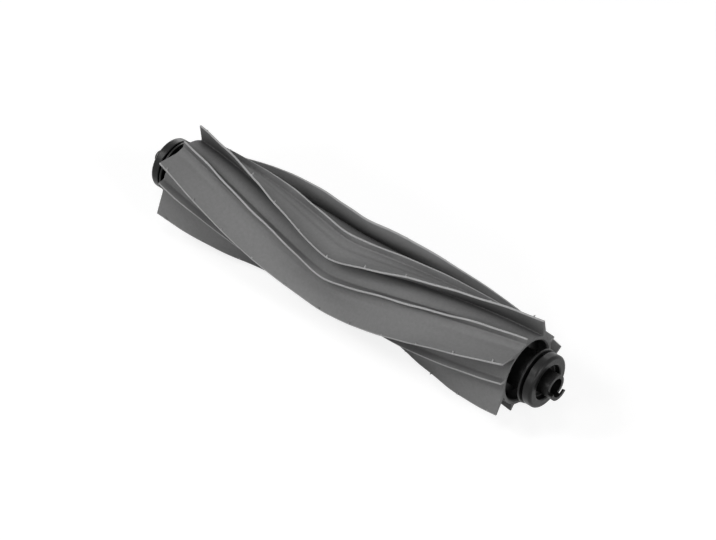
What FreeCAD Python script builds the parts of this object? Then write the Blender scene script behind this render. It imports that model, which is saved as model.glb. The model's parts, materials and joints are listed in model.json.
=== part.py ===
import FreeCAD, Part
import math
import os
import re
import Sketcher

# Roller brush of a robot vacuum cleaner, in millimetres.
# The roller's axis is X, the driven end is +X and the idler end is -X. Every body is drawn from the
# middle of the rubber sleeve outwards, and its placement moves the origin to the middle of the whole brush.

SIZES = (
    # Rubber sleeve: a tube with leaning chevron fins
    ("rubber_length", 164.4),
    ("tube_radius", 13.4),
    ("tube_wall", 1.55),
    ("sleeve_play", 0.05),
    ("rim_lead", 0.5),
    ("fin_pairs", 5),
    ("tall_height", 6.6),
    ("short_height", 2.65),
    ("tall_lean_angle", 53.0),
    ("short_lean_angle", 8.0),
    ("fin_tip_width", 0.7),
    ("fin_root_width", 1.6),
    ("root_flare", 0.4),
    ("flare_height", 0.9),
    ("fin_sink", 0.6),
    ("tall_angle", 45.2),
    ("short_angle", 91.6),
    ("chevron_twist", 68.5),
    ("apex_softness", 0.07),
    # Rigid core under the sleeve
    ("core_wall", 2.4),
    ("core_inset", 6.2),
    ("key_count", 3),
    ("key_width", 4.0),
    ("key_height", 0.5),
    ("notch_width", 5.0),
    ("notch_depth", 3.0),
    # Outline shared by the two hubs
    ("plug_length", 16.0),
    ("plug_lead", 0.6),
    ("plug_bore", 7.2),
    ("shoulder_step", 0.4),
    ("shoulder_thickness", 1.6),
    ("neck_radius", 7.4),
    ("collar_radius", 10.6),
    ("collar_thickness", 0.9),
    ("collar_stand_off", 4.7),
    ("collar_rounding", 0.25),
    # Rounded flange of either end
    ("flange_radius", 10.3),
    ("flange_thickness", 3.7),
    ("flange_gap", 1.0),
    ("front_rounding", 1.1),
    ("back_rounding", 0.4),
    # Drive dog and its screw
    ("recess_radius", 6.8),
    ("recess_depth", 2.5),
    ("recess_rounding", 0.6),
    ("dog_radius", 4.6),
    ("dog_bore", 3.3),
    ("dog_collar_height", 3.3),
    ("claw_height", 1.7),
    ("claw_start", 185.0),
    ("claw_sweep", 135.0),
    ("hook_gap", 0.9),
    ("hook_sweep", 32.0),
    ("stem_side", 8.4),
    ("stem_length", 13.8),
    ("stem_end_gap", 0.2),
    ("web_wall", 3.0),
    ("screw_seat", 1.2),
    ("screw_radius", 1.5),
    ("screw_length", 15.6),
    ("screw_tip", 1.4),
    ("head_radius", 2.75),
    ("head_height", 1.9),
    ("head_rounding", 0.9),
    ("cross_length", 3.0),
    ("cross_width", 0.8),
    ("cross_depth", 1.1),
    ("washer_radius", 2.9),
    ("washer_thickness", 0.5),
    # Idler end: ball bearing on a fixed axle
    ("axle_radius", 2.0),
    ("journal_radius", 2.4),
    ("axle_chamfer", 0.4),
    ("axle_stand_out", 5.8),
    ("axle_tail", 1.2),
    ("bearing_radius", 6.5),
    ("bearing_width", 5.0),
    ("bearing_setback", 8.9),
    ("ball_count", 7),
    ("ball_radius", 1.19),
    ("race_play", 0.05),
    ("land_gap", 0.85),
    ("cage_half_width", 0.6),
    ("cage_back", 1.7),
    ("cage_front", 0.4),
    ("cage_play", 0.08),
    ("shield_thickness", 0.3),
    ("shield_inset", 0.15),
    ("shield_seat", 0.25),
    ("shield_gap", 0.15),
    ("circlip_thickness", 1.0),
    ("circlip_width", 1.5),
    ("circlip_bite", 0.35),
    ("circlip_play", 0.05),
    ("circlip_opening", 3.0),
    ("shim_thickness", 0.4),
    ("clip_thickness", 0.6),
    ("clip_bite", 0.5),
    ("clip_radius", 3.6),
    ("clip_mouth", 2.4),
    ("boss_radius", 2.9),
    ("boss_passage", 1.0),
    ("nose_radius", 3.8),
    ("nose_length", 1.2),
    ("seal_radius", 5.4),
    ("seal_depth", 2.4),
    ("seal_play", 0.05),
    ("seal_inset", 0.3),
)

# Stations along the axis, measured outwards from the middle of the sleeve
SLEEVE_END = "rubber_length / 2"
CORE_END = f"({SLEEVE_END} - core_inset)"
PLUG_END = f"({CORE_END} - plug_length)"
SHOULDER_FACE = f"({CORE_END} + shoulder_thickness)"
COLLAR_FRONT = f"({SLEEVE_END} + collar_stand_off)"
COLLAR_BACK = f"({COLLAR_FRONT} - collar_thickness)"
FLANGE_BACK = f"({COLLAR_FRONT} + flange_gap)"
FLANGE_FRONT = f"({FLANGE_BACK} + flange_thickness)"
DOG_FACE = f"({FLANGE_FRONT} + dog_collar_height)"
DOG_TIP = f"({DOG_FACE} + claw_height)"
STEM_END = f"({FLANGE_BACK} - stem_length)"
SOCKET_FLOOR = f"({STEM_END} - stem_end_gap)"
WEB_BACK = f"({SOCKET_FLOOR} - web_wall)"
SCREW_SEAT = f"({FLANGE_BACK} - screw_seat)"
HEAD_BASE = f"({SCREW_SEAT} + washer_thickness)"
HEAD_TOP = f"({HEAD_BASE} + head_height)"
SCREW_END = f"({HEAD_BASE} - screw_length)"
NOSE_END = f"({FLANGE_FRONT} + nose_length)"
AXLE_TIP = f"({FLANGE_FRONT} + axle_stand_out)"
BEARING_OUT = f"({COLLAR_FRONT} - bearing_setback)"
BEARING_IN = f"({BEARING_OUT} - bearing_width)"
BEARING_MIDDLE = f"({BEARING_OUT} - bearing_width / 2)"
CIRCLIP_IN = f"({BEARING_IN} - circlip_thickness)"
SHIM_IN = f"({BEARING_IN} - shim_thickness)"
CLIP_IN = f"({SHIM_IN} - clip_thickness)"
AXLE_END = f"({CLIP_IN} - axle_tail)"
SEAL_FLOOR = f"({COLLAR_FRONT} - seal_depth)"
MIDDLE = f"({AXLE_TIP} - {DOG_TIP}) / 2"

# Radii that follow from others
SLEEVE_BORE = "(tube_radius - tube_wall)"
CORE_RADIUS = f"({SLEEVE_BORE} - sleeve_play)"
CORE_BORE = f"({CORE_RADIUS} - core_wall)"
SHOULDER_RADIUS = f"({CORE_RADIUS} - shoulder_step)"
PITCH_RADIUS = "((axle_radius + bearing_radius) / 2)"
INNER_LAND = f"({PITCH_RADIUS} - land_gap)"
OUTER_LAND = f"({PITCH_RADIUS} + land_gap)"
SHIELD_SEAT = f"({OUTER_LAND} + shield_seat)"
CIRCLIP_GROOVE = "(bearing_radius + circlip_bite)"
CLIP_GROOVE = "(axle_radius - clip_bite)"
BETWEEN_KEYS = "180 / key_count"

# Loft stations from the middle of the sleeve to one end, closer together at the chevron's apex
FIN_STATIONS = 8
STATION_CROWDING = 1.45

doc = FreeCAD.newDocument("roller_brush")
sheet = doc.addObject("Spreadsheet::Sheet", "Sizes")
for row, (alias, value) in enumerate(SIZES, start=1):
    sheet.set(f"A{row}", alias)
    sheet.set(f"B{row}", str(value))
    sheet.setAlias(f"B{row}", alias)
doc.recompute()

bodies = []


def cells(text):
    """Point each size named in an expression at its cell in the sheet."""
    return re.sub(r"\b[a-z]+(_[a-z]+)+\b", r"Sizes.\g<0>", text)


def origin(body, role):
    """One of the body's own origin planes or axes."""
    return next(item for item in body.Origin.OriginFeatures if item.Role == role)


def new_body(label, idler=False):
    """A body drawn outwards along its own X; the idler end's bodies are turned to face -X."""
    body = doc.addObject("PartDesign::Body", label)
    body.Label = label
    if idler:
        body.Placement.Rotation = FreeCAD.Rotation(FreeCAD.Vector(0, 0, 1), 180)
    body.setExpression("Placement.Base.x", cells(MIDDLE))
    bodies.append(body)
    return body


def new_sketch(body, name, plane, along, turn):
    """An empty sketch on an origin plane, moved along the plane's normal and turned about it."""
    sketch = body.newObject("Sketcher::SketchObject", name)
    sketch.AttachmentSupport = (origin(body, plane), "")
    sketch.MapMode = "FlatFace"
    sketch.setExpression("AttachmentOffset.Base.z", cells(along))
    sketch.setExpression("AttachmentOffset.Rotation.Angle", cells(turn))
    return sketch


def pin(sketch, kind, geometry, point, text):
    """Hold one coordinate of a sketch point at an expression."""
    index = sketch.addConstraint(Sketcher.Constraint(kind, -1, 1, geometry, point, 1.0))
    sketch.setExpression(f"Constraints[{index}]", cells(text))


def polygon(body, name, points, plane="XY_Plane", along="0", turn="0"):
    """A closed outline of straight lines whose corners are given as expressions."""
    sketch = new_sketch(body, name, plane, along, turn)
    count = len(points)
    angles = [2 * math.pi * i / count for i in range(count)]
    start = [FreeCAD.Vector(math.cos(angle), math.sin(angle), 0) for angle in angles]
    for i in range(count):
        sketch.addGeometry(Part.LineSegment(start[i], start[(i + 1) % count]))
    for i in range(count):
        sketch.addConstraint(Sketcher.Constraint("Coincident", i, 2, (i + 1) % count, 1))
    for i, (across, up) in enumerate(points):
        pin(sketch, "DistanceX", i, 1, across)
        pin(sketch, "DistanceY", i, 1, up)
    return sketch


def rectangle(body, name, low, high, along="0", turn="0"):
    """A rectangle across the axis, from one corner to the other."""
    corners = [low, (high[0], low[1]), high, (low[0], high[1])]
    return polygon(body, name, corners, "YZ_Plane", along, turn)


def turned(body, name, points, kind="Revolution"):
    """A half profile turned about the axis, as material or, for a Groove, as a cut."""
    sketch = polygon(body, f"{name}_profile", points)
    feature = body.newObject(f"PartDesign::{kind}", name)
    feature.Profile = sketch
    feature.ReferenceAxis = (sketch, ["H_Axis"])
    return feature


def ring(body, name, inner, outer, near, far):
    """A plain ring between two radii and two stations."""
    return turned(body, name, [(near, inner), (near, outer), (far, outer), (far, inner)])


def ball_race(body, name):
    """The groove that the balls run in, a circle on the pitch radius turned about the axis."""
    sketch = new_sketch(body, f"{name}_profile", "XY_Plane", "0", "0")
    sketch.addGeometry(Part.Circle(FreeCAD.Vector(1, 1, 0), FreeCAD.Vector(0, 0, 1), 1))
    pin(sketch, "DistanceX", 0, 3, BEARING_MIDDLE)
    pin(sketch, "DistanceY", 0, 3, PITCH_RADIUS)
    index = sketch.addConstraint(Sketcher.Constraint("Radius", 0, 1.0))
    sketch.setExpression(f"Constraints[{index}]", cells("ball_radius + race_play"))
    feature = body.newObject("PartDesign::Groove", name)
    feature.Profile = sketch
    feature.ReferenceAxis = (sketch, ["H_Axis"])
    return feature


def straight(body, name, sketch, length, kind, reverse=False, symmetric=False):
    """A Pad or Pocket of a sketch along the axis."""
    feature = body.newObject(f"PartDesign::{kind}", name)
    feature.Profile = sketch
    feature.setExpression("Length", cells(length))
    feature.Reversed = reverse
    if symmetric:
        feature.SideType = "Symmetric"
    return feature


def around(body, name, features, count):
    """Repeat features evenly around the axis."""
    pattern = body.newObject("PartDesign::PolarPattern", name)
    pattern.Originals = features
    pattern.Axis = (origin(body, "X_Axis"), [""])
    pattern.Angle = 360
    pattern.setExpression("Occurrences", cells(count))
    body.Tip = pattern
    return pattern


def rounded(body, name, radius_name, rounding, side=None):
    """Round the circular edges of one radius: all of them, the front one or the back one."""
    doc.recompute()
    base = body.Tip
    radius = sheet.get(radius_name)
    edges = {}
    for i, edge in enumerate(base.Shape.Edges, start=1):
        if isinstance(edge.Curve, Part.Circle) and abs(edge.Curve.Radius - radius) < 1e-4:
            edges[f"Edge{i}"] = edge.Curve.Center.x
    wanted = {"front": [max(edges.values())], "back": [min(edges.values())], None: edges.values()}[side]
    chosen = [edge for edge, station in edges.items() if station in wanted]
    fillet = body.newObject("PartDesign::Fillet", name)
    fillet.Base = (base, chosen)
    fillet.setExpression("Radius", cells(rounding))
    return fillet


def ball(body, name, kind, radius):
    """A sphere on the pitch circle of the bearing, as material or as a cut."""
    sphere = body.newObject(f"PartDesign::{kind}Sphere", name)
    sphere.AttachmentSupport = (origin(body, "XZ_Plane"), "")
    sphere.MapMode = "FlatFace"
    sphere.setExpression("AttachmentOffset.Base.x", cells(BEARING_MIDDLE))
    sphere.setExpression("AttachmentOffset.Base.z", cells(PITCH_RADIUS))
    sphere.setExpression("Radius", cells(radius))
    return around(body, f"{name}_ring", [sphere], "ball_count")


def fin_section(body, name, reach, lean, along, turn):
    """Section of one leaning fin, with the sketch turned so that the blade lies along its first axis."""
    axis = f"(-tube_radius * sin({lean}))"
    root_low = f"({axis} - fin_root_width / 2)"
    root_high = f"({axis} + fin_root_width / 2)"
    base_low = f"({root_low} - root_flare)"
    base_high = f"({root_high} + root_flare)"
    tip_low = f"({axis} - fin_tip_width / 2)"
    tip_high = f"({axis} + fin_tip_width / 2)"
    tip = f"sqrt(({reach}) ^ 2 - {tip_low} ^ 2)"
    points = [
        (f"sqrt((tube_radius - fin_sink) ^ 2 - {base_low} ^ 2)", base_low),
        (f"sqrt(tube_radius ^ 2 - {root_low} ^ 2) + flare_height", root_low),
        (tip, tip_low),
        (tip, tip_high),
        (f"sqrt(tube_radius ^ 2 - {root_high} ^ 2) + flare_height", root_high),
        (f"sqrt((tube_radius - fin_sink) ^ 2 - {base_high} ^ 2)", base_high),
    ]
    return polygon(body, name, points, "YZ_Plane", along, turn)


def chevron_fin(body, kind):
    """One tall or short fin lofted from end to end along a chevron whose apex is slightly rounded."""
    reach = f"tube_radius + {kind}_height"
    lean = f"{kind}_lean_angle"
    sections = []
    for i in range(-FIN_STATIONS, FIN_STATIONS + 1):
        share = math.copysign(abs(i / FIN_STATIONS) ** STATION_CROWDING, i)
        bend = f"sqrt({share ** 2:.6f} + apex_softness ^ 2) - apex_softness"
        whole = "sqrt(1 + apex_softness ^ 2) - apex_softness"
        lead = f"chevron_twist * (1 - ({bend}) / ({whole}))"
        along = f"rubber_length / 2 * {share:.6f}"
        turn = f"{kind}_angle + {lean} + {lead}"
        name = f"{kind}_section_{i + FIN_STATIONS}"
        sections.append(fin_section(body, name, reach, lean, along, turn))
    fin = body.newObject("PartDesign::AdditiveLoft", f"{kind}_fin")
    fin.Profile = sections[0]
    fin.Sections = [(section, [""]) for section in sections[1:]]
    fin.Refine = False
    return fin


def rubber_sleeve():
    """The fins are rooted in a full bar, and the bore and keyways are then cut through bar and roots."""
    body = new_body("rubber_sleeve")
    bore_end = f"({SLEEVE_BORE} + rim_lead)"
    turned(body, "bar", [
        (f"-{SLEEVE_END}", "0"),
        (f"-{SLEEVE_END}", "tube_radius"),
        (SLEEVE_END, "tube_radius"),
        (SLEEVE_END, "0"),
    ])
    fins = [chevron_fin(body, kind) for kind in ("tall", "short")]
    around(body, "fin_ring", fins, "fin_pairs").Refine = False
    turned(body, "bore", [
        (f"-{SLEEVE_END}", "0"),
        (f"-{SLEEVE_END}", bore_end),
        (f"-({SLEEVE_END} - rim_lead)", SLEEVE_BORE),
        (f"{SLEEVE_END} - rim_lead", SLEEVE_BORE),
        (SLEEVE_END, bore_end),
        (SLEEVE_END, "0"),
    ], "Groove")
    keyway = straight(body, "keyway", key_outline(body, "keyway"), f"2 * {CORE_END}", "Pocket", symmetric=True)
    around(body, "keyway_ring", [keyway], "key_count")


def key_outline(body, name):
    """Section of the keys that stop the sleeve from slipping on the core."""
    low = ("-key_width / 2", f"{CORE_RADIUS} - key_height")
    high = ("key_width / 2", f"{CORE_RADIUS} + key_height")
    return rectangle(body, f"{name}_profile", low, high)


def core_tube():
    body = new_body("core_tube")
    ring(body, "tube", CORE_BORE, CORE_RADIUS, f"-{CORE_END}", CORE_END)
    key = straight(body, "key", key_outline(body, "key"), f"2 * {CORE_END}", "Pad", symmetric=True)
    around(body, "key_ring", [key], "key_count")
    low = ("-notch_width / 2", f"{CORE_BORE} / 2")
    high = ("notch_width / 2", f"{CORE_RADIUS} + core_wall")
    for name, along, reverse in (("drive_notch", CORE_END, False), ("idler_notch", f"-{CORE_END}", True)):
        outline = rectangle(body, f"{name}_profile", low, high, along, BETWEEN_KEYS)
        notch = straight(body, name, outline, "notch_depth", "Pocket", reverse)
        around(body, f"{name}_ring", [notch], "key_count")


def hub(label, idler, bore):
    """A hub from its plug in the core to its collar; the two hubs differ only in the bore."""
    body = new_body(label, idler)
    turned(body, "hub", [
        (PLUG_END, f"{CORE_BORE} - plug_lead"),
        (f"{PLUG_END} + plug_lead", CORE_BORE),
        (CORE_END, CORE_BORE),
        (CORE_END, SHOULDER_RADIUS),
        (SHOULDER_FACE, SHOULDER_RADIUS),
        (SHOULDER_FACE, "neck_radius"),
        (COLLAR_BACK, "neck_radius"),
        (COLLAR_BACK, "collar_radius"),
        (COLLAR_FRONT, "collar_radius"),
    ] + bore)
    low = ("-notch_width / 2", f"{CORE_BORE} - plug_lead")
    high = ("notch_width / 2", SHOULDER_RADIUS)
    outline = rectangle(body, "lug_profile", low, high, CORE_END, BETWEEN_KEYS)
    lug = straight(body, "lug", outline, "notch_depth", "Pad", True)
    around(body, "lug_ring", [lug], "key_count")
    rounded(body, "collar_edge", "collar_radius", "collar_rounding")
    return body


def square_stem(body, name, length, kind, reverse):
    """The square stem of the dog, or the socket for it."""
    low = ("-stem_side / 2", "-stem_side / 2")
    high = ("stem_side / 2", "stem_side / 2")
    outline = rectangle(body, f"{name}_profile", low, high, FLANGE_BACK)
    return straight(body, name, outline, length, kind, reverse)


def drive_hub():
    body = hub("drive_hub", False, [
        (COLLAR_FRONT, "neck_radius"),
        (FLANGE_BACK, "neck_radius"),
        (FLANGE_BACK, "screw_radius"),
        (WEB_BACK, "screw_radius"),
        (WEB_BACK, "plug_bore"),
        (PLUG_END, "plug_bore"),
    ])
    square_stem(body, "socket", "stem_length + stem_end_gap", "Pocket", False)


def wedge(body, name, along, start, sweep):
    """A sector about the axis that reaches well past the dog."""
    points = [("0", "0")]
    for share in ("0", "1 / 3", "2 / 3", "1"):
        angle = f"{start} + ({sweep}) * {share}"
        points.append((f"3 * dog_radius * cos({angle})", f"3 * dog_radius * sin({angle})"))
    return polygon(body, name, points, "YZ_Plane", along)


def drive_dog():
    body = new_body("drive_dog")
    recess_floor = f"{FLANGE_FRONT} - recess_depth"
    turned(body, "flange", [
        (FLANGE_BACK, "0"),
        (FLANGE_BACK, "flange_radius"),
        (FLANGE_FRONT, "flange_radius"),
        (FLANGE_FRONT, "recess_radius"),
        (recess_floor, "recess_radius"),
        (recess_floor, "dog_radius"),
        (DOG_TIP, "dog_radius"),
        (DOG_TIP, "0"),
    ])
    rounded(body, "flange_front_edge", "flange_radius", "front_rounding", "front")
    rounded(body, "flange_back_edge", "flange_radius", "back_rounding", "back")
    rounded(body, "recess_edge", "recess_radius", "recess_rounding")
    square_stem(body, "stem", "stem_length", "Pad", True)
    turned(body, "screw_bore", [
        (f"{STEM_END} - stem_length", "0"),
        (f"{STEM_END} - stem_length", "screw_radius"),
        (SCREW_SEAT, "screw_radius"),
        (SCREW_SEAT, "dog_bore"),
        (f"{DOG_TIP} + claw_height", "dog_bore"),
        (f"{DOG_TIP} + claw_height", "0"),
    ], "Groove")
    claw_end = "claw_start + claw_sweep"
    outline = wedge(body, "claw_side_profile", DOG_TIP, claw_end, "360 - claw_sweep")
    straight(body, "claw_side", outline, "claw_height", "Pocket")
    outline = wedge(body, "hook_profile", f"{DOG_FACE} + hook_gap", f"{claw_end} - hook_sweep", "2 * hook_sweep")
    straight(body, "hook", outline, "hook_gap", "Pocket")


def dog_screw():
    body = new_body("dog_screw")
    turned(body, "screw", [
        (SCREW_END, "0"),
        (f"{SCREW_END} + screw_tip", "screw_radius"),
        (HEAD_BASE, "screw_radius"),
        (HEAD_BASE, "head_radius"),
        (HEAD_TOP, "head_radius"),
        (HEAD_TOP, "0"),
    ])
    rounded(body, "head_edge", "head_radius", "head_rounding", "front")
    low = ("-cross_length / 2", "-cross_width / 2")
    high = ("cross_length / 2", "cross_width / 2")
    outline = rectangle(body, "cross_profile", low, high, HEAD_TOP)
    slot = straight(body, "cross_slot", outline, "cross_depth", "Pocket")
    around(body, "cross", [slot], "4")


def dog_washer():
    ring(new_body("dog_washer"), "washer", "screw_radius", "washer_radius", SCREW_SEAT, HEAD_BASE)


def idler_hub():
    passage = "boss_radius + boss_passage"
    hub("idler_hub", True, [
        (COLLAR_FRONT, "seal_radius"),
        (SEAL_FLOOR, "seal_radius"),
        (SEAL_FLOOR, passage),
        (BEARING_OUT, passage),
        (BEARING_OUT, "bearing_radius"),
        (BEARING_IN, "bearing_radius"),
        (BEARING_IN, CIRCLIP_GROOVE),
        (CIRCLIP_IN, CIRCLIP_GROOVE),
        (CIRCLIP_IN, "bearing_radius"),
        (PLUG_END, "bearing_radius"),
    ])


def ball_bearing():
    notch = "(shield_inset + shield_thickness)"
    body = new_body("bearing_outer_ring", True)
    turned(body, "ring", [
        (BEARING_IN, "bearing_radius"),
        (BEARING_IN, SHIELD_SEAT),
        (f"{BEARING_IN} + {notch}", SHIELD_SEAT),
        (f"{BEARING_IN} + {notch}", OUTER_LAND),
        (f"{BEARING_OUT} - {notch}", OUTER_LAND),
        (f"{BEARING_OUT} - {notch}", SHIELD_SEAT),
        (BEARING_OUT, SHIELD_SEAT),
        (BEARING_OUT, "bearing_radius"),
    ])
    ball_race(body, "race")
    body = new_body("bearing_inner_ring", True)
    ring(body, "ring", "axle_radius", INNER_LAND, BEARING_IN, BEARING_OUT)
    ball_race(body, "race")
    body = new_body("bearing_balls", True)
    body.AllowCompound = True
    ball(body, "ball", "Additive", "ball_radius")
    body = new_body("bearing_cage", True)
    ring(body, "crown", f"{PITCH_RADIUS} - cage_half_width", f"{PITCH_RADIUS} + cage_half_width",
         f"{BEARING_MIDDLE} - cage_back", f"{BEARING_MIDDLE} + cage_front")
    ball(body, "pocket", "Subtractive", "ball_radius + cage_play")
    shield_bore = f"{INNER_LAND} + shield_gap"
    ring(new_body("bearing_shield_inner", True), "shield", shield_bore, SHIELD_SEAT,
         f"{BEARING_IN} + shield_inset", f"{BEARING_IN} + {notch}")
    ring(new_body("bearing_shield_outer", True), "shield", shield_bore, SHIELD_SEAT,
         f"{BEARING_OUT} - {notch}", f"{BEARING_OUT} - shield_inset")


def open_ring(label, inner, outer, near, far, opening):
    """A snap ring with an opening."""
    body = new_body(label, True)
    ring(body, "ring", inner, outer, near, far)
    outline = rectangle(body, "opening_profile", (f"-{opening} / 2", "0"), (f"{opening} / 2", f"2 * {outer}"), far)
    straight(body, "opening", outline, f"{far} - {near}", "Pocket")


def axle_pin():
    body = new_body("axle_pin", True)
    turned(body, "axle", [
        (AXLE_END, "0"),
        (AXLE_END, "axle_radius - axle_chamfer"),
        (f"{AXLE_END} + axle_chamfer", "axle_radius"),
        (CLIP_IN, "axle_radius"),
        (CLIP_IN, CLIP_GROOVE),
        (SHIM_IN, CLIP_GROOVE),
        (SHIM_IN, "axle_radius"),
        (NOSE_END, "axle_radius"),
        (NOSE_END, "journal_radius"),
        (f"{AXLE_TIP} - axle_chamfer", "journal_radius"),
        (AXLE_TIP, "journal_radius - axle_chamfer"),
        (AXLE_TIP, "0"),
    ])


def idler_cap():
    body = new_body("idler_cap", True)
    turned(body, "cap", [
        (BEARING_OUT, "axle_radius"),
        (BEARING_OUT, "boss_radius"),
        (FLANGE_BACK, "boss_radius"),
        (FLANGE_BACK, "flange_radius"),
        (FLANGE_FRONT, "flange_radius"),
        (FLANGE_FRONT, "nose_radius"),
        (NOSE_END, "nose_radius"),
        (NOSE_END, "axle_radius"),
    ])
    rounded(body, "flange_front_edge", "flange_radius", "front_rounding", "front")
    rounded(body, "flange_back_edge", "flange_radius", "back_rounding", "back")


def idler_fittings():
    circlip_radius = f"({CIRCLIP_GROOVE} - circlip_play)"
    open_ring("bearing_circlip", f"({circlip_radius} - circlip_width)", circlip_radius, CIRCLIP_IN, BEARING_IN,
              "circlip_opening")
    open_ring("axle_clip", CLIP_GROOVE, "clip_radius", CLIP_IN, SHIM_IN, "clip_mouth")
    ring(new_body("axle_shim", True), "shim", "axle_radius", "boss_radius", SHIM_IN, BEARING_IN)
    ring(new_body("felt_seal", True), "felt", "boss_radius + seal_play", "seal_radius", SEAL_FLOOR,
         f"{COLLAR_FRONT} - seal_inset")


rubber_sleeve()
core_tube()
drive_hub()
drive_dog()
dog_screw()
dog_washer()
idler_hub()
ball_bearing()
axle_pin()
idler_cap()
idler_fittings()
doc.recompute()

for item in doc.Objects:
    if "Invalid" in item.State or "Error" in item.State:
        raise RuntimeError(f"{item.Label} did not build: {item.State}")
for body in bodies:
    if body.Shape.isNull() or not body.Shape.isValid():
        raise RuntimeError(f"{body.Label} has no valid shape")

os.makedirs("parts", exist_ok=True)
for body in bodies:
    body.Shape.exportStep(f"parts/{body.Label}.step")
    print(body.Label, len(body.Shape.Solids), round(body.Shape.Volume, 1))
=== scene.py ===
import cmath
import json
import math

import bmesh
import bpy
import numpy as np
from mathutils import Matrix, Vector
from mathutils.geometry import tessellate_polygon


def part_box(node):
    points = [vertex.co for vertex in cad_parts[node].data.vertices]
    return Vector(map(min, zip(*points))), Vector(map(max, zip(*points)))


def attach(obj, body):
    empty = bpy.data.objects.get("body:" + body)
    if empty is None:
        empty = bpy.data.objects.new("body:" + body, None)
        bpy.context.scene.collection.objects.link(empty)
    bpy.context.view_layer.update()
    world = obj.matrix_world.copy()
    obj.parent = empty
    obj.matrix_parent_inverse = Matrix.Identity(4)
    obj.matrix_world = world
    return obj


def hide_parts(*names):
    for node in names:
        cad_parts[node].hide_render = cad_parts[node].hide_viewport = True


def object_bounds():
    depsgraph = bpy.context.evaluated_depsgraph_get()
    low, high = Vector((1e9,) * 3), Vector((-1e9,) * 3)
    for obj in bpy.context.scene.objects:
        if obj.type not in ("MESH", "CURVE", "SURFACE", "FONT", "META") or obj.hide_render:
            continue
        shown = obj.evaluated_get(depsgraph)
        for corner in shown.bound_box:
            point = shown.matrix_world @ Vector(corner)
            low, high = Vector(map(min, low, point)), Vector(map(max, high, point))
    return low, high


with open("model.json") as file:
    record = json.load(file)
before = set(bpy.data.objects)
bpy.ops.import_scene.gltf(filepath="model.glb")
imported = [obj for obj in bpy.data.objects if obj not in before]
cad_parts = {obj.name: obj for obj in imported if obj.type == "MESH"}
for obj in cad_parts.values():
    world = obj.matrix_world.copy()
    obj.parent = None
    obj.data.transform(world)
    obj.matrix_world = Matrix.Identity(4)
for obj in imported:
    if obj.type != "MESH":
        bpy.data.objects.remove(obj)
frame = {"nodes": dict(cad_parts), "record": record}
CAD_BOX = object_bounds()

# Camera, fitted to the photograph; lengths in metres, angles in degrees
AZIMUTH = 41.03
ELEVATION = 42.06
DISTANCE = 1.0522
AIM_ALONG = 0.0004
AIM_RIGHT = 0.0026
AIM_UP = -0.0009
LENS_MM = 145.0
SENSOR_MM = 36.0
CLIP_END = 20.0

# Light: lamps by camera direction (right, up, back), with size in metres and power in watts
AMBIENT = 0.02
LAMP_DISTANCE = 1.5
LAMPS = {
    "key": ((-0.72, 0.56, 0.42), 0.5, 7.0),
    "left": ((-0.72, 0.00, 0.68), 0.4, 3.4),
    "front": ((0.04, -0.30, 0.95), 0.25, 3.8),
    "right": ((0.57, -0.05, 0.80), 0.5, 7.6),
    "top": ((-0.10, 0.64, 0.76), 0.4, 2.0),
    "rim": ((0.15, 0.95, -0.25), 0.3, 1.2),
    "back": ((0.00, 0.76, -0.65), 0.6, 4.0),
}
FLOOR_SIZE = 4.0
FLOOR_LIFT = 0.8

# Sleeve, with the sizes of the solid model
SLEEVE_LOW, SLEEVE_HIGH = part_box("rubber_sleeve")
SLEEVE_MIDDLE = (SLEEVE_LOW.x + SLEEVE_HIGH.x) / 2
HALF_LENGTH = (SLEEVE_HIGH.x - SLEEVE_LOW.x) / 2
TUBE_RADIUS = 0.0134
BORE_RADIUS = 0.01185
RIM_LEAD = 0.0005
KEY_COUNT = 3
KEY_HALF_WIDTH = 0.002
KEYWAY_TOP = 0.0123
KEYWAY_END = 0.076
FIN_PAIRS = 5
TIP_WIDTH = 0.0007
ROOT_WIDTH = 0.0016
ROOT_FLARE = 0.0004
FLARE_HEIGHT = 0.0009
FIN_SINK = 0.0006
CHEVRON_TWIST = 68.5
APEX_SOFTNESS = 0.07

# Fins: radius of the tip, lean from the radius, angle of the root at the sleeve's ends, whether it has nibs,
# bow at the apex, depth of the painted tip highlight, and rows of points by their distance behind the tip
TALL_FIN = {"reach": 0.0200, "lean": 53.0, "angle": 45.2, "nibs": True, "bow": 0.0010, "edge": 0.0003,
            "rows": (0.0072, 0.0066, 0.0060, 0.0054, 0.0048, 0.0042, 0.0036, 0.0030, 0.0024, 0.0017,
                     0.0010, 0.0008, 0.0006, 0.0004)}
SHORT_FIN = {"reach": 0.01605, "lean": 8.0, "angle": 91.6, "nibs": False, "bow": 0.0, "edge": 0.0001,
             "rows": (0.0009,)}

# Fine sleeve: rounding of its edges and spacing of its points
FOOT_ROUNDING = 0.0005
FLARE_ROUNDING = 0.0003
TIP_ROUNDING = 0.0002
ROUNDING_STEPS = 3
VALLEY_SPANS = 6
BORE_SPANS = 12
STATION_SPACING = 0.0014
WELD_DISTANCE = 1e-6
SHARP_ANGLE = 38.0

# Waviness of the fins' tips, sideways and inwards; wave lengths are per radian
SWAY = 0.0003
SWAY_WAVES = ((0.6, 0.0071, 1), (0.4, 0.0029, -2))  # share, wave length, part of the fin's phase
DIP = 0.00016
DIP_WAVE = 0.0093
FIN_PHASE = 1.9

# Vent nibs along the tall fins' tips
NIB_PITCH = 0.0156
NIB_HEIGHT = 0.0011
NIB_CHANGE = 0.35
NIB_WAVE = 0.011
NIB_FRONT = 0.0002
NIB_TAPER = 0.0004
NIB_FLAT = 0.00015
NIB_FOOT = 0.0004

# Grey levels of the rubber, of its painted tip highlight and of the painted shade in its creases, with the
# reach of that shade
RUBBER = 0.235
PAINTED_TIP_HIGHLIGHT = 0.46
CLOUD = 0.012
TIP_CLOUD = 0.02
PAINTED_SHADE_REACH = 0.012
PAINTED_CREASE_SHADE = 0.25

# Usual range of a noise texture's values
NOISE_LOW = 0.3
NOISE_HIGH = 0.7


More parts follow.
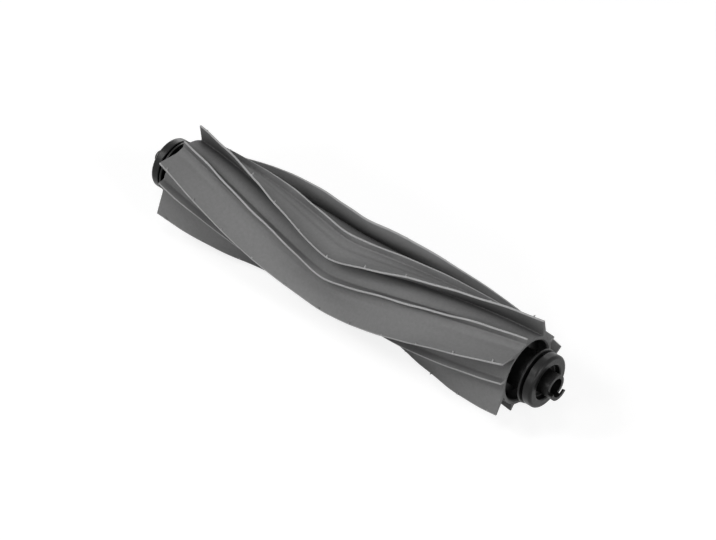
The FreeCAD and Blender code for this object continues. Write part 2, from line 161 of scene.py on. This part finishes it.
def camera_axes():
    """Right, up and back directions of the photograph's camera."""
    a = math.radians(AZIMUTH)
    e = math.radians(ELEVATION)
    right = Vector((math.cos(a), math.sin(a), 0))
    up = Vector((-math.sin(a) * math.sin(e), math.cos(a) * math.sin(e), math.cos(e)))
    return right, up, right.cross(up)


def add_camera():
    """The photograph's camera."""
    right, up, back = camera_axes()
    camera = bpy.data.objects.new("camera", bpy.data.cameras.new("camera"))
    camera.data.lens = LENS_MM
    camera.data.sensor_width = SENSOR_MM
    camera.data.sensor_fit = "HORIZONTAL"
    camera.data.clip_end = CLIP_END
    turn = Matrix((right, up, back)).transposed().to_4x4()
    place = back * DISTANCE + right * AIM_RIGHT + up * AIM_UP + Vector((AIM_ALONG, 0, 0))
    camera.matrix_world = Matrix.Translation(place) @ turn
    bpy.context.collection.objects.link(camera)
    bpy.context.scene.camera = camera


def add_lamp(name, direction, size, power):
    """A square soft lamp in a camera direction, facing the brush."""
    place = sum((axis * share for axis, share in zip(camera_axes(), direction)), Vector())
    place = place.normalized() * LAMP_DISTANCE
    lamp = bpy.data.objects.new(name, bpy.data.lights.new(name, "AREA"))
    lamp.data.size = size
    lamp.data.energy = power
    lamp.location = place
    lamp.rotation_euler = (-place).to_track_quat("-Z", "Y").to_euler()
    bpy.context.collection.objects.link(lamp)


def round_corner(before, corner, after, radius):
    """Points of a soft corner between two straight runs of an outline, over at most half of each."""
    runs = (before - corner, after - corner)
    start, end = (corner + run * min(radius / abs(run), 0.5) for run in runs)
    shares = [i / ROUNDING_STEPS for i in range(ROUNDING_STEPS + 1)]
    return [start * (1 - s) ** 2 + 2 * corner * s * (1 - s) + end * s * s for s in shares]


def blade_point(start, end, reach):
    """Point of a blade's face at a given reach."""
    return start + (end - start) * (reach - start.real) / (end.real - start.real)


def fin_outline(fin):
    """A fin's section from foot to foot, with its blade along the real axis."""
    axis = -TUBE_RADIUS * math.sin(math.radians(fin["lean"]))

    def on_circle(radius, offset):
        return complex(math.sqrt(radius ** 2 - offset ** 2), offset)

    tip_reach = on_circle(fin["reach"], axis - TIP_WIDTH / 2).real
    corners = {}
    for side in (-1, 1):
        base = on_circle(TUBE_RADIUS - FIN_SINK, axis + side * (ROOT_WIDTH / 2 + ROOT_FLARE))
        flare = on_circle(TUBE_RADIUS, axis + side * ROOT_WIDTH / 2) + FLARE_HEIGHT
        # The foot is where the run from base to flare leaves the tube
        run = flare - base
        half = (base * run.conjugate()).real / abs(run) ** 2
        rest = (abs(base) ** 2 - TUBE_RADIUS ** 2) / abs(run) ** 2
        foot = base + run * (math.sqrt(half ** 2 - rest) - half)
        valley = foot * cmath.exp(1j * side * 2 * FOOT_ROUNDING / TUBE_RADIUS)
        corners[side] = [valley, foot, flare, complex(tip_reach, axis + side * TIP_WIDTH / 2)]
    path = corners[-1] + corners[1][::-1]
    roundings = [FOOT_ROUNDING, FLARE_ROUNDING, TIP_ROUNDING]
    outline = []
    for i, radius in enumerate(roundings + roundings[::-1], start=1):
        soft = round_corner(path[i - 1], path[i], path[i + 1], radius)
        if i in (3, 5):
            # The blade's faces, up from the flare and down again, get rows of points
            start, end = path[i - 1], path[i]
            lowest = min(start.real, end.real) + FLARE_ROUNDING
            reaches = [tip_reach - behind for behind in fin["rows"] if tip_reach - behind > lowest]
            outline += [blade_point(start, end, r) for r in sorted(reaches, reverse=i == 5)]
        outline += soft
    return outline, axis, tip_reach, on_circle(TUBE_RADIUS, axis).real


def fin_rows(fin):
    """A fin's section, blade along the real axis: rows of point, reach share, bow, nib and weight of the
    painted tip highlight.
    """
    outline, axis, tip, root = fin_outline(fin)
    rows = []
    for point in outline:
        behind = tip - point.real
        share = min(max(1 - behind / (tip - root), 0), 1)
        bow = 4 * fin["bow"] * share * (1 - share)
        nib = 0.0
        if fin["nibs"] and point.imag < axis:
            nib = min(max(NIB_TAPER - abs(NIB_TAPER + NIB_FRONT - behind), 0) / NIB_TAPER, 1)
        # Points just behind the tip carry the painted highlight
        edge = 1.0 if behind < fin["edge"] else 0.0
        rows.append((point, share, bow, nib, edge))
    return rows


def sleeve_outline():
    """Section at the sleeve's ends: points, blade directions, fins, shares, bows, nibs and weights of the
    painted tip highlight.
    """
    fins = []
    for pair in range(FIN_PAIRS):
        for fin in (TALL_FIN, SHORT_FIN):
            angle = fin["angle"] + fin["lean"] + 360 * pair / FIN_PAIRS
            blade = cmath.exp(1j * math.radians(angle))
            fins.append([(row[0] * blade, blade, len(fins), *row[1:]) for row in fin_rows(fin)])
    loop = []
    for i, rows in enumerate(fins):
        start = rows[-1][0]
        end = fins[(i + 1) % len(fins)][0][0]
        sweep = cmath.phase(end / start)
        valley = TUBE_RADIUS * start / abs(start)
        loop += rows
        for step in range(1, VALLEY_SPANS):
            loop.append((valley * cmath.exp(1j * sweep * step / VALLEY_SPANS), 1, i, 0, 0, 0, 0))
    return np.array(loop).T


def sleeve_stations():
    """Places along the sleeve, closer together at the nibs; also the nibs' height at each place."""
    count = int(HALF_LENGTH / NIB_PITCH)
    nibs = NIB_PITCH * np.arange(-count, count + 1)
    offsets = np.array([-NIB_FOOT, -NIB_FLAT, NIB_FLAT, NIB_FOOT])
    close = (nibs[:, None] + offsets).ravel()
    even = np.linspace(-HALF_LENGTH, HALF_LENGTH, round(2 * HALF_LENGTH / STATION_SPACING) + 1)
    clear = np.abs(even[:, None] - close).min(axis=1) > STATION_SPACING / 4
    stations = np.sort(np.concatenate((even[clear], close)))
    away = np.abs(stations[:, None] - nibs).min(axis=1)
    return stations, np.clip((NIB_FOOT - away) / (NIB_FOOT - NIB_FLAT), 0, 1)


def sleeve_rings():
    """Outer surface of the sleeve: stations, a ring of points for each, and weights of the painted highlight
    on the fin tips and nibs.
    """
    point, blade, fin, share, bow, nib, edge = sleeve_outline()
    stations, bumps = sleeve_stations()
    along = stations[:, None]
    soft = APEX_SOFTNESS
    run = (np.hypot(along / HALF_LENGTH, soft) - soft) / (math.hypot(1, soft) - soft)
    phase = FIN_PHASE * fin.real
    sway = SWAY * sum(part * np.sin(along / wave + turn * phase) for part, wave, turn in SWAY_WAVES)
    dip = DIP * (1 + np.sin(along / DIP_WAVE - phase))
    bend = share.real ** 2 * (1j * sway - dip) + 1j * bow.real * (1 - run)
    height = NIB_HEIGHT * (1 - NIB_CHANGE + NIB_CHANGE * np.sin(along / NIB_WAVE + 2 * phase))
    lift = -1j * height * nib.real * bumps[:, None]
    rings = point + blade * (bend + lift)
    rings *= np.minimum(1, TALL_FIN["reach"] / np.abs(rings))
    rings *= np.exp(1j * math.radians(CHEVRON_TWIST) * (1 - run))
    return stations, rings, np.maximum(edge.real, nib.real * bumps[:, None])


def bore_loop(radius, keyed):
    """Section of the bore, with or without its keyways."""
    corner = math.asin(KEY_HALF_WIDTH / radius)
    third = 2 * math.pi / KEY_COUNT
    span = (third - 2 * corner) / BORE_SPANS
    arc = [radius * cmath.exp(1j * (corner + span * i)) for i in range(BORE_SPANS + 1)]
    top = [radius * cmath.exp(-1j * corner / 3), radius * cmath.exp(1j * corner / 3)]
    if keyed:
        top = [complex(KEYWAY_TOP, -KEY_HALF_WIDTH), complex(KEYWAY_TOP, KEY_HALF_WIDTH)]
    turns = [cmath.exp(1j * (math.pi / 2 + third * key)) for key in range(KEY_COUNT)]
    return [p * turn for turn in turns for p in top + arc]


def bore_rings():
    """Inner surface of the sleeve: rim leads at both ends and keyways between."""
    half = [(HALF_LENGTH, BORE_RADIUS + RIM_LEAD, False), (HALF_LENGTH - RIM_LEAD, BORE_RADIUS, False),
            (KEYWAY_END, BORE_RADIUS, False), (KEYWAY_END, BORE_RADIUS, True)]
    stops = [(-along, radius, keyed) for along, radius, keyed in half] + half[::-1]
    return [stop[0] for stop in stops], np.array([bore_loop(*stop[1:]) for stop in stops])


def tube_faces(first, rings, points):
    """Quads between neighbouring rings of points, the first point having index first."""
    faces = []
    for i in range(rings - 1):
        for j in range(points):
            a = first + i * points + j
            b = first + i * points + (j + 1) % points
            faces.append((a, b, b + points, a + points))
    return faces


def end_face(outer, bore):
    """Triangles between the outer outline and the bore at one end, from (index, point) lists."""
    index = [i for i, _ in outer + bore]
    loops = [[Vector((p.real, p.imag, 0)) for _, p in loop] for loop in (outer, bore)]
    return [tuple(index[i] for i in face) for face in tessellate_polygon(loops)]


def add_sleeve(material):
    """The rubber sleeve with softened edges, slight waviness and the tall fins' nibs."""
    places = []
    faces = []
    ends = []
    *outer, edge = sleeve_rings()
    for stations, rings in (outer, bore_rings()):
        first = len(places)
        points = rings.shape[1]
        faces += tube_faces(first, len(stations), points)
        last = first + (len(stations) - 1) * points
        ends.append((list(enumerate(rings[0], first)), list(enumerate(rings[-1], last))))
        for along, ring in zip(stations, rings):
            places += [(SLEEVE_MIDDLE + along, p.real, p.imag) for p in ring]
    for outer_end, bore_end in zip(*ends):
        faces += end_face(outer_end, bore_end)
    mesh = bpy.data.meshes.new("fine_sleeve")
    mesh.from_pydata(places, [], faces)
    # Weights of the painted highlight on the fin tips and nibs, for the rubber's colour
    weights = np.zeros(len(places))
    weights[:edge.size] = edge.ravel()
    mesh.attributes.new("edge", "FLOAT", "POINT").data.foreach_set("value", weights)
    build = bmesh.new()
    build.from_mesh(mesh)
    bmesh.ops.remove_doubles(build, verts=build.verts, dist=WELD_DISTANCE)
    bmesh.ops.recalc_face_normals(build, faces=build.faces)
    for face in build.faces:
        face.smooth = True
    build.to_mesh(mesh)
    build.free()
    mesh.set_sharp_from_angle(angle=math.radians(SHARP_ANGLE))
    mesh.materials.append(material)
    sleeve = bpy.data.objects.new("fine_sleeve", mesh)
    bpy.context.collection.objects.link(sleeve)
    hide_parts("rubber_sleeve")
    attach(sleeve, "roller")


class Nodes:
    """A material's node tree, with short calls for adding and joining nodes."""

    def __init__(self, name):
        self.material = bpy.data.materials.new(name)
        self.material.use_nodes = True
        self.tree = self.material.node_tree
        self.shader = self.tree.nodes["Principled BSDF"]
        self.place = self.add("ShaderNodeTexCoord").outputs["Object"]

    def add(self, kind, **settings):
        node = self.tree.nodes.new(kind)
        for key, value in settings.items():
            setattr(node, key, value)
        return node

    def link(self, source, target):
        self.tree.links.new(source, target)

    def noise(self, scale, detail=4.0, stretch=(1, 1, 1)):
        """Noise in object space; scale is in features per metre."""
        mapping = self.add("ShaderNodeMapping")
        mapping.inputs["Scale"].default_value = stretch
        texture = self.add("ShaderNodeTexNoise")
        texture.inputs["Scale"].default_value = scale
        texture.inputs["Detail"].default_value = detail
        self.link(self.place, mapping.inputs["Vector"])
        self.link(mapping.outputs["Vector"], texture.inputs["Vector"])
        return texture.outputs["Fac"]

    def ramp(self, source, low, high, start=NOISE_LOW, end=NOISE_HIGH):
        """Colours from low to high as the source goes from start to end."""
        ramp = self.add("ShaderNodeValToRGB")
        ramp.color_ramp.elements[0].position = start
        ramp.color_ramp.elements[1].position = end
        ramp.color_ramp.elements[0].color = (*low, 1)
        ramp.color_ramp.elements[1].color = (*high, 1)
        self.link(source, ramp.inputs["Fac"])
        return ramp.outputs["Color"]

    def spread(self, source, low, high, target):
        """Map a noise's usual range to low..high on a socket."""
        spread = self.add("ShaderNodeMapRange")
        spread.inputs["From Min"].default_value = NOISE_LOW
        spread.inputs["From Max"].default_value = NOISE_HIGH
        spread.inputs["To Min"].default_value = low
        spread.inputs["To Max"].default_value = high
        self.link(source, spread.inputs["Value"])
        self.link(spread.outputs["Result"], target)

    def blend(self, share, below, above, target):
        """Go from one colour to the other as the share goes from 0 to 1."""
        mix = self.add("ShaderNodeMix", data_type="RGBA")
        self.link(share, mix.inputs["Factor"])
        self.link(below, mix.inputs["A"])
        self.link(above, mix.inputs["B"])
        self.link(mix.outputs["Result"], target)

    def bump(self, source, height, edge_radius=0.0):
        """Bump from the source, in metres, over edges softened by a small radius."""
        bump = self.add("ShaderNodeBump")
        bump.inputs["Distance"].default_value = height
        self.link(source, bump.inputs["Height"])
        if edge_radius:
            bevel = self.add("ShaderNodeBevel", samples=6)
            bevel.inputs["Radius"].default_value = edge_radius
            self.link(bevel.outputs["Normal"], bump.inputs["Normal"])
        self.link(bump.outputs["Normal"], self.shader.inputs["Normal"])


def grey(level):
    return (level, level, level)


def rubber():
    """Matt grey rubber with a fine moulded grain, painted shade in the creases between the fins and a
    painted highlight on the fin tips and nibs.
    """
    nodes = Nodes("grey_rubber")
    cloud = nodes.noise(900, 8)
    # Painted shade: the colour is darkened where ambient occlusion finds surfaces close by, in the creases
    # and pockets between the fins
    creases = nodes.add("ShaderNodeAmbientOcclusion", samples=12)
    creases.inputs["Distance"].default_value = PAINTED_SHADE_REACH
    shade = nodes.ramp(creases.outputs["AO"], grey(PAINTED_CREASE_SHADE), grey(1.0), 0.2, 0.9)
    body = nodes.add("ShaderNodeMix", data_type="RGBA", blend_type="MULTIPLY")
    body.inputs["Factor"].default_value = 1.0
    nodes.link(nodes.ramp(cloud, grey(RUBBER - CLOUD), grey(RUBBER + CLOUD)), body.inputs["A"])
    nodes.link(shade, body.inputs["B"])
    # Painted highlight: the fin tips and the nibs' tops get a paler grey from the mesh's edge weights
    tips = nodes.add("ShaderNodeAttribute", attribute_name="edge")
    tip_highlight = nodes.ramp(cloud, grey(PAINTED_TIP_HIGHLIGHT - TIP_CLOUD), grey(PAINTED_TIP_HIGHLIGHT + TIP_CLOUD))
    nodes.blend(tips.outputs["Fac"], body.outputs["Result"], tip_highlight, nodes.shader.inputs["Base Color"])
    nodes.spread(nodes.noise(220, 5), 0.55, 0.68, nodes.shader.inputs["Roughness"])
    nodes.shader.inputs["Specular IOR Level"].default_value = 0.06
    nodes.bump(nodes.noise(5200, 3), 0.00003)
    return nodes.material


def black_plastic():
    """Satin black moulding with a fine spark texture and faint rub marks."""
    nodes = Nodes("black_plastic")
    rub = nodes.noise(240, 6, (0.4, 1, 1))
    nodes.link(nodes.ramp(rub, grey(0.003), grey(0.007)), nodes.shader.inputs["Base Color"])
    nodes.spread(nodes.noise(500, 4), 0.28, 0.38, nodes.shader.inputs["Roughness"])
    nodes.shader.inputs["Specular IOR Level"].default_value = 0.22
    nodes.bump(nodes.noise(6000, 2), 0.000015, 0.0003)
    return nodes.material


def core_plastic():
    nodes = Nodes("core_plastic")
    nodes.link(nodes.ramp(nodes.noise(90, 5), grey(0.035), grey(0.06)), nodes.shader.inputs["Base Color"])
    nodes.spread(nodes.noise(400, 4), 0.45, 0.6, nodes.shader.inputs["Roughness"])
    nodes.bump(nodes.noise(3000, 3), 0.00002, 0.0003)
    return nodes.material


def metal(name, low, high, roughness):
    """Ground metal with fine marks."""
    nodes = Nodes(name)
    marks = nodes.noise(3000, 3)
    nodes.shader.inputs["Metallic"].default_value = 1.0
    nodes.link(nodes.ramp(marks, grey(low), grey(high)), nodes.shader.inputs["Base Color"])
    nodes.spread(marks, roughness - 0.08, roughness + 0.08, nodes.shader.inputs["Roughness"])
    nodes.bump(marks, 0.000004, 0.00008)
    return nodes.material


def nylon():
    nodes = Nodes("cage_nylon")
    nodes.link(nodes.ramp(nodes.noise(700, 4), (0.62, 0.58, 0.47), (0.72, 0.68, 0.57)),
               nodes.shader.inputs["Base Color"])
    nodes.spread(nodes.noise(900, 3), 0.4, 0.55, nodes.shader.inputs["Roughness"])
    nodes.bump(nodes.noise(4000, 2), 0.00001, 0.0001)
    return nodes.material


def felt():
    nodes = Nodes("felt")
    fibres = nodes.noise(3500, 6)
    nodes.link(nodes.ramp(fibres, grey(0.05), grey(0.16)), nodes.shader.inputs["Base Color"])
    nodes.shader.inputs["Roughness"].default_value = 0.95
    nodes.shader.inputs["Sheen Weight"].default_value = 0.4
    nodes.bump(fibres, 0.0002)
    return nodes.material


def make_materials():
    return {
        "grey_rubber": rubber(),
        "black_plastic": black_plastic(),
        "core_plastic": core_plastic(),
        "steel": metal("steel", 0.5, 0.62, 0.32),
        "ball_steel": metal("ball_steel", 0.62, 0.7, 0.14),
        "black_steel": metal("black_steel", 0.03, 0.05, 0.38),
        "cage_nylon": nylon(),
        "felt": felt(),
    }


def dress_nodes(materials):
    """Give every CAD node the material of its slot in the record."""
    for part in frame["record"]["subparts"]:
        mesh = frame["nodes"][part["node"]].data
        mesh.materials.clear()
        mesh.materials.append(materials[part["material_slot"]])


def seen_strength(tree, unseen, seen, target):
    """Set a strength to one level for rays that show a surface and to another for rays that light one."""
    path = tree.nodes.new("ShaderNodeLightPath")
    shows = path.outputs["Is Camera Ray"]
    for kind in ("Is Glossy Ray", "Is Transmission Ray"):
        both = tree.nodes.new("ShaderNodeMath")
        both.operation = "MAXIMUM"
        tree.links.new(shows, both.inputs[0])
        tree.links.new(path.outputs[kind], both.inputs[1])
        shows = both.outputs["Value"]
    level = tree.nodes.new("ShaderNodeMapRange")
    level.inputs["To Min"].default_value = unseen
    level.inputs["To Max"].default_value = seen
    tree.links.new(shows, level.inputs["Value"])
    tree.links.new(level.outputs["Result"], target)


def white_floor():
    """A pale floor that looks white except where the brush shades it."""
    nodes = Nodes("white_floor")
    nodes.link(nodes.ramp(nodes.noise(3, 2), grey(0.34), grey(0.36)), nodes.shader.inputs["Base Color"])
    nodes.shader.inputs["Roughness"].default_value = 0.9
    nodes.shader.inputs["Specular IOR Level"].default_value = 0.0
    nodes.shader.inputs["Emission Color"].default_value = (1, 1, 1, 1)
    seen_strength(nodes.tree, 0.0, FLOOR_LIFT, nodes.shader.inputs["Emission Strength"])
    return nodes.material


def add_stage():
    """A flat floor under the brush."""
    mesh = bpy.data.meshes.new("floor")
    half = FLOOR_SIZE / 2
    height = CAD_BOX[0][2]
    corners = [(-half, -half, height), (half, -half, height), (half, half, height), (-half, half, height)]
    mesh.from_pydata(corners, [], [(0, 1, 2, 3)])
    mesh.materials.append(white_floor())
    floor = bpy.data.objects.new("floor", mesh)
    bpy.context.collection.objects.link(floor)


def add_light():
    """A world that looks white but lights little, and the lamps."""
    world = bpy.data.worlds.new("studio")
    world.use_nodes = True
    background = world.node_tree.nodes["Background"]
    background.inputs["Color"].default_value = (1, 1, 1, 1)
    seen_strength(world.node_tree, AMBIENT, 1.0, background.inputs["Strength"])
    bpy.context.scene.world = world
    for name, (direction, size, power) in LAMPS.items():
        add_lamp(name, direction, size, power)


bpy.context.scene.view_settings.view_transform = "Standard"
add_camera()
materials = make_materials()
dress_nodes(materials)
add_sleeve(materials["grey_rubber"])
add_stage()
add_light()
